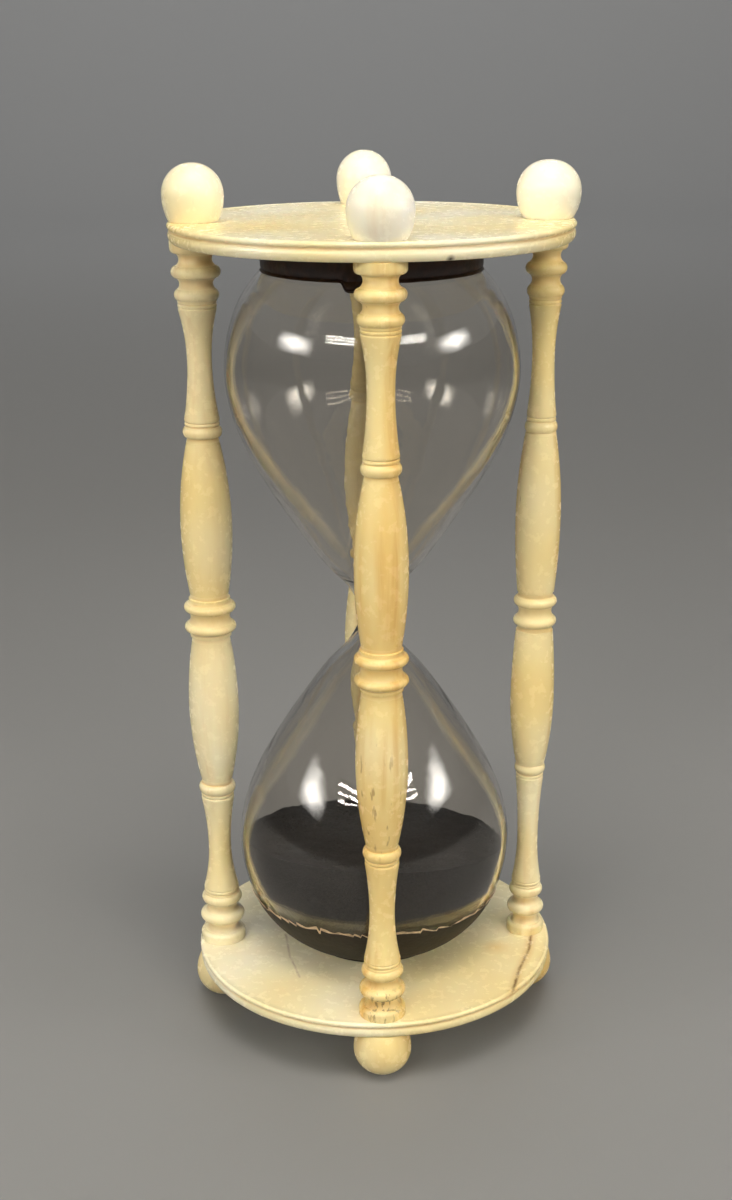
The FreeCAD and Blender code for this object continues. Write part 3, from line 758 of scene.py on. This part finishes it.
pitchShape = {
    "plateRadius": {"upper_pad": 21.3, "lower_pad": 14.3},  # where the bed meets the plate
    "bulge": 0.35,
    "edge": {"upper_pad": 72.2, "lower_pad": 63.4},  # how far up the glass it runs, from mid height
    "wander": {"upper_pad": 0.45, "lower_pad": 0.9},  # unevenness of that edge
    "flakes": {"upper_pad": 0.0, "lower_pad": 0.8},  # depth of the chips along it
    "flakeMm": 5.5,         # length of a chip
    "paleMm": 0.36,         # width of the rim along the chips, painted pale as a painted reflection
    "skin": 0.2,            # thickness where it has crept up the glass
    "dripAngle": -102,      # degrees round from the right, beside the front pillar
    "dripLength": 1.5,
    "dripWidth": 4.5,       # degrees
    "dripThick": 1.1,       # how far the drip stands out
    "clear": 0.03,          # gap left to the plate and the glass's end
    "tuck": 0.3,            # margin from the bed's outer face to where it meets the glass
    "middleRadius": 27.5,   # of the bulb along the edge, to space the chips
}


def pitchMesh(label, direction, seed, segments=540):
    # a poured bed between bulb and plate; direction is 1 at the top and -1 at the bottom
    shape = pitchShape
    surface = glassOuter[glassOuter[:, 1] > 58]
    surfaceHeights, surfaceRadii = surface[:, 1], surface[:, 0]
    plateRadius = shape["plateRadius"][label]
    tuck, clear = shape["tuck"], shape["clear"]
    contact = np.interp(-plateRadius - tuck, -surfaceRadii, surfaceHeights)
    end = surfaceHeights[-1]
    rings, edges = None, []
    for k in range(segments):
        angle = 2 * math.pi * k / segments
        at = Vector((math.cos(angle) * 2.2, math.sin(angle) * 2.2, seed))
        wander = noise.noise(at) + 0.5 * noise.noise(at * 3.1)
        flake = (angle * shape["middleRadius"] / shape["flakeMm"] + 1.3 * noise.noise(at * 2.3)) % 1 - 0.5
        offset = math.degrees(angle) - 360 - shape["dripAngle"]
        drip = math.exp(-(offset / shape["dripWidth"]) ** 4) if direction > 0 else 0.0
        edge = shape["edge"][label] + shape["wander"][label] * wander - shape["dripLength"] * drip
        edge += shape["flakes"][label] * flake * (1 + noise.noise(at * 5.3))
        edge = min(edge, contact - 0.1)
        top = plateRadius + 0.3 * wander
        profile = [(top * 0.5, halfGap - clear, 0), (top, halfGap - clear, 0)]
        thick = shape["skin"] + shape["dripThick"] * drip
        foot = np.interp(contact, surfaceHeights, surfaceRadii) + thick + 0.25
        for t in (0.25, 0.5, 0.75, 1.0):
            radius = top + (foot - top) * t + shape["bulge"] * math.sin(math.pi * t)
            profile.append((radius, halfGap + (contact + tuck - halfGap) * t, 0))
        for t in np.linspace(0.1, 1, 9):
            height = contact + (edge - contact) * t
            radius = np.interp(height, surfaceHeights, surfaceRadii) + thick * (1 - 0.5 * t ** 4)
            profile.append((radius, height, 0))
        # only the lower bed is chipped along its edge
        chipped = 1 if direction < 0 else 0
        rim = shape["paleMm"] * (1.2 + 2 * noise.noise(at * 7.7) * chipped)
        for height, spread in ((edge - 0.04, 0.9), (edge - rim, 0.2), (edge - rim + 0.05, 0.02)):
            radius = np.interp(height, surfaceHeights, surfaceRadii) + thick * spread
            profile.append((radius, height, chipped))
        for t in np.linspace(0.1, 1, 7):
            height = edge + (end - edge) * t
            profile.append((np.interp(height, surfaceHeights, surfaceRadii) + 0.02, height + 0.02 * t, 0))
        profile.append((1.0, end + clear, 0))
        rings = rings or [[] for _ in profile]
        for ring, (radius, height, _) in zip(rings, profile):
            ring.append((radius * math.cos(angle), radius * math.sin(angle), height))
        edges = [paintedReflectionRim for _, _, paintedReflectionRim in profile]
    vertices = [(0, 0, halfGap - clear)] + [point for ring in rings for point in ring]
    vertices.append((0, 0, end + clear))
    faces = []
    for k in range(segments):
        n = (k + 1) % segments
        faces.append((0, 1 + k, 1 + n))
        for ring in range(len(rings) - 1):
            first, second = 1 + ring * segments, 1 + (ring + 1) * segments
            faces.append((first + k, second + k, second + n, first + n))
        last = 1 + (len(rings) - 1) * segments
        faces.append((last + k, len(vertices) - 1, last + n))
    if direction < 0:
        faces = [face[::-1] for face in faces]
    placed = [(x * mm, y * mm, middle + direction * z * mm) for x, y, z in vertices]
    paintedReflectionRim = [0.0] + [float(value) for value in edges for _ in range(segments)] + [0.0]
    return meshObject(f"{label}_poured", placed, faces, {"edge": paintedReflectionRim})


print("pitch")
# the lower bed takes a darker copy of the pitch than the upper one: painted shade, for the shade it lies in
# under the bulb
pitch = {"upper_pad": makePitch("setPitchUpper", "#1E0D05", "#331809", "#482610", 0.42),
         "lower_pad": makePitch("setPitchLowerPaintedShade", "#0B0603", "#150B06", "#23130A", 0.65)}
for label, direction in (("upper_pad", 1), ("lower_pad", -1)):
    finish(pitchMesh(label, direction, 5.0 * direction), label, "frame", pitch[label])


# ---- what repeats: sand grains and screw threads ----

def nodeGroup(name, sizes):
    # a Geometry Nodes tree with a Geometry input, named sizes and a Geometry output
    tree = bpy.data.node_groups.new(name, "GeometryNodeTree")
    tree.interface.new_socket("Geometry", in_out="INPUT", socket_type="NodeSocketGeometry")
    for label, value in sizes.items():
        kind = "NodeSocketInt" if isinstance(value, int) else "NodeSocketFloat"
        tree.interface.new_socket(label, in_out="INPUT", socket_type=kind).default_value = value
    tree.interface.new_socket("Material", in_out="INPUT", socket_type="NodeSocketMaterial")
    tree.interface.new_socket("Geometry", in_out="OUTPUT", socket_type="NodeSocketGeometry")
    start, end = tree.nodes.new("NodeGroupInput"), tree.nodes.new("NodeGroupOutput")
    return tree, start.outputs, end.inputs["Geometry"]


def finishTree(tree, geometry, inputs, result):
    real = add(tree, "GeometryNodeRealizeInstances", Geometry=geometry)
    painted = add(tree, "GeometryNodeSetMaterial", Geometry=real.outputs[0], Material=inputs["Material"])
    tree.links.new(painted.outputs[0], result)


def built(name, base, tree, values):
    # the tree's result on a base mesh, as a plain mesh object
    carrier = bpy.data.objects.new(f"{name}Carrier", base)
    bpy.context.scene.collection.objects.link(carrier)
    modifier = carrier.modifiers.new("nodes", "NODES")
    modifier.node_group = tree
    for socket in tree.interface.items_tree:
        if socket.in_out == "INPUT" and socket.name in values:
            modifier[socket.identifier] = values[socket.name]
    graph = bpy.context.evaluated_depsgraph_get()
    mesh = bpy.data.meshes.new_from_object(carrier.evaluated_get(graph))
    bpy.data.objects.remove(carrier)
    piece = bpy.data.objects.new(name, mesh)
    bpy.context.scene.collection.objects.link(piece)
    return piece


def grainTree():
    sizes = {"Grains": 100, "Largest": 0.2 * mm, "Seed": 0}
    tree, inputs, result = nodeGroup("sandGrains", sizes)
    points = add(tree, "GeometryNodeDistributePointsOnFaces", Mesh=inputs["Geometry"],
                 Density=inputs["Grains"], Seed=inputs["Seed"])
    ball = add(tree, "GeometryNodeMeshIcoSphere", Radius=1.0, Subdivisions=1)
    size = add(tree, "FunctionNodeRandomValue", {"data_type": "FLOAT"}, _2=0.35, _3=1.0,
               Seed=inputs["Seed"])
    sized = add(tree, "ShaderNodeMath", {"operation": "MULTIPLY"}, _0=size.outputs[1], _1=inputs["Largest"])
    turn = add(tree, "FunctionNodeRandomValue", {"data_type": "FLOAT_VECTOR"}, _1=(6.28, 6.28, 6.28),
               Seed=inputs["Seed"])
    placed = add(tree, "GeometryNodeInstanceOnPoints", Points=points.outputs[0], Instance=ball.outputs[0],
                 Rotation=turn.outputs[0], Scale=sized.outputs[0])
    finishTree(tree, placed.outputs[0], inputs, result)
    return tree


def sandTop():
    # the sand's surface alone, a little in from the glass
    turns, rings = sandShape["grainTurns"], sandShape["grainRings"]
    vertices, faces = sandMesh(turns, rings)
    inside = 1 + turns * (rings - 1)
    mesh = bpy.data.meshes.new("sandTop")
    mesh.from_pydata(vertices[:inside], [], [face for face in faces if max(face) < inside])
    return mesh


print("sand grains")
top = sandTop()
area = sum(polygon.area for polygon in top.polygons)
grains = built("sand_grains", top, grainTree(), {
    "Grains": int(sandShape["grains"] / area), "Largest": sandShape["grainMm"] * mm,
    "Seed": sandShape["seed"], "Material": makeSand("looseBlackSand", "#1A1614", "#4A433D")})
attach(grains, "frame")


threadShape = {"root": 1.5, "crest": 1.68, "pitch": 0.8, "start": 3.2, "length": 6.4}


def threadTree():
    # a three-sided ridge wound along the upright axis
    sizes = {"Radius": 1.5 * mm, "Pitch": 0.8 * mm, "Length": 6 * mm, "Ridge": 0.2 * mm}
    tree, inputs, result = nodeGroup("screwThread", sizes)
    turns = add(tree, "ShaderNodeMath", {"operation": "DIVIDE"}, _0=inputs["Length"], _1=inputs["Pitch"])
    helix = add(tree, "GeometryNodeCurveSpiral", Resolution=28, Rotations=turns.outputs[0],
                Start_Radius=inputs["Radius"], End_Radius=inputs["Radius"], Height=inputs["Length"])
    section = add(tree, "GeometryNodeCurvePrimitiveCircle", Resolution=3, Radius=inputs["Ridge"])
    ridge = add(tree, "GeometryNodeCurveToMesh", Curve=helix.outputs[0], Profile_Curve=section.outputs[0],
                Fill_Caps=True)
    places = add(tree, "GeometryNodeMeshToPoints", Mesh=inputs["Geometry"])
    placed = add(tree, "GeometryNodeInstanceOnPoints", Points=places.outputs[0], Instance=ridge.outputs[0])
    finishTree(tree, placed.outputs[0], inputs, result)
    return tree


print("screw threads")
starts = bpy.data.meshes.new("threadStarts")
lowest = middle - (halfGap + threadShape["start"] + threadShape["length"]) * mm
highest = middle + (halfGap + threadShape["start"]) * mm
starts.from_pydata([(*placeOf(side), height) for side in sides for height in (lowest, highest)], [], [])
threads = built("tenon_threads", starts, threadTree(), {
    "Radius": threadShape["root"] * mm, "Pitch": threadShape["pitch"] * mm,
    "Length": threadShape["length"] * mm,
    "Ridge": (threadShape["crest"] - threadShape["root"]) * mm, "Material": pillarIvory["back"]})
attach(threads, "frame")


# ---- floor, light and camera ----

floorShape = {
    "flat": (0, 300, 900, 1800),  # mm from the middle; the last is where the floor starts to rise
    "bend": 900,                  # radius of the rise, mm
    "rise": 1.35,                 # how far round the bend it goes, radians
}


def floorBowl():
    # a wide plain floor that rises in a soft curve far away, all round
    start, bend = floorShape["flat"][-1], floorShape["bend"]
    outline = [(radius, 0) for radius in floorShape["flat"]]
    for angle in np.linspace(0, floorShape["rise"], 12)[1:]:
        outline.append((start + bend * math.sin(angle), bend - bend * math.cos(angle)))
    floor = turned("floor", outline[::-1], (0, 0), 0.0, segments=96)
    material, tree, shader = newMaterial("paleFloor")
    shader.inputs["Base Color"].default_value = linear("#848484")
    shader.inputs["Roughness"].default_value = 0.6
    floor.data.materials.append(material)


lampShare = 0.36  # part of a cell's width and height that glows


def softBox(name, place, aim, size, strength, colour="#FFFFFF", cells=None):
    # a glowing panel whose light fades towards its edges, or one made of small lamps when cells
    # says how many each way; size in metres
    width, height = size[0] / 2, size[1] / 2
    mesh = bpy.data.meshes.new(name)
    corners = [(-width, -height, 0), (width, -height, 0), (width, height, 0), (-width, height, 0)]
    mesh.from_pydata(corners, [], [(0, 3, 2, 1)])
    panel = bpy.data.objects.new(name, mesh)
    turn = (Vector(aim) - Vector(place)).to_track_quat("-Z", "Y").to_matrix().to_4x4()
    panel.matrix_world = Matrix.Translation(place) @ turn
    bpy.context.scene.collection.objects.link(panel)
    material, tree, shader = newMaterial(name)
    where = add(tree, "ShaderNodeTexCoord").outputs["Object"]
    axes = add(tree, "ShaderNodeSeparateXYZ", Vector=where)
    fade = None
    for label, reach in (("X", width), ("Y", height)):
        if cells:
            count = cells[label]
            across = maths(tree, "MULTIPLY", axes.outputs[label], count / (2 * reach))
            part = maths(tree, "LESS_THAN", maths(tree, "PINGPONG", across, 0.5), lampShare / 2)
        else:
            away = maths(tree, "DIVIDE", maths(tree, "ABSOLUTE", axes.outputs[label]), reach)
            part = ramp(tree, away, [(0.0, 1.0), (0.35, 0.6), (1.0, 0.0)])
        fade = part if fade is None else maths(tree, "MULTIPLY", fade, part)
    shader.inputs["Base Color"].default_value = linear("#000000")
    shader.inputs["Emission Color"].default_value = linear(colour)
    tree.links.new(maths(tree, "MULTIPLY", fade, strength), shader.inputs["Emission Strength"])
    panel.data.materials.append(material)


def roundTheFront(bearing, height, distance):
    # a place in the room; bearing in degrees from the front, to the right
    angle = math.radians(bearing)
    return (distance * math.sin(angle), -distance * math.cos(angle), height)


print("floor, light and camera")
floorBowl()
centre = (0, 0, middle)
brightness = {"overhead": 13.0, "strip": 25.0, "lamps": 130.0, "wallWash": 24.0, "room": 0.4}
softBox("overhead", (0.0, -0.3, 1.15), centre, (1.0, 0.85), brightness["overhead"], "#FFF9EE")
for name, stripBearing, lampBearing in (("left", -68, -28), ("right", 68, 30)):
    stripPlace = roundTheFront(stripBearing, 0.58, 1.25)
    softBox(f"{name}Strip", stripPlace, centre, (0.8, 0.32), brightness["strip"], "#FFFCF6")
    lampPlace = roundTheFront(lampBearing, 0.72, 1.1)
    softBox(f"{name}Lamps", lampPlace, centre, (0.5, 0.16), brightness["lamps"], "#FFF8EC",
            {"X": 12, "Y": 3})
softBox("wallWash", (0.0, 1.3, 1.5), (0.0, 2.6, 0.75), (2.4, 0.5), brightness["wallWash"])

world = bpy.data.worlds.new("studio")
world.use_nodes = True
world.node_tree.nodes["Background"].inputs["Color"].default_value = linear("#B9BAB8")
world.node_tree.nodes["Background"].inputs["Strength"].default_value = brightness["room"]
bpy.context.scene.world = world

viewShape = {
    "lens": 50.57,
    "shiftY": 0.1,
    "tilt": 22.07,    # degrees down
    "turn": -2.33,    # degrees round the object, seen from above
    "roll": 0.35,
    "place": (-0.0156, -0.3422, 0.1141),  # metres from the glass's neck
}
cameraData = bpy.data.cameras.new("camera")
cameraData.lens = viewShape["lens"]
cameraData.shift_y = viewShape["shiftY"]
cameraData.clip_start = 0.01
camera = bpy.data.objects.new("camera", cameraData)
bpy.context.scene.collection.objects.link(camera)
turn = Matrix.Rotation(math.radians(viewShape["turn"]), 4, "Z")
tilt = Matrix.Rotation(math.radians(-viewShape["tilt"]), 4, "X")
roll = Matrix.Rotation(math.radians(viewShape["roll"]), 4, "Y")
upright = Matrix.Rotation(math.radians(90), 4, "X")
place = Matrix.Translation(Vector(viewShape["place"]) + Vector(centre))
camera.matrix_world = place @ turn @ tilt @ roll @ upright
bpy.context.scene.camera = camera
bpy.context.scene.view_settings.view_transform = "Standard"

bpy.context.view_layer.update()
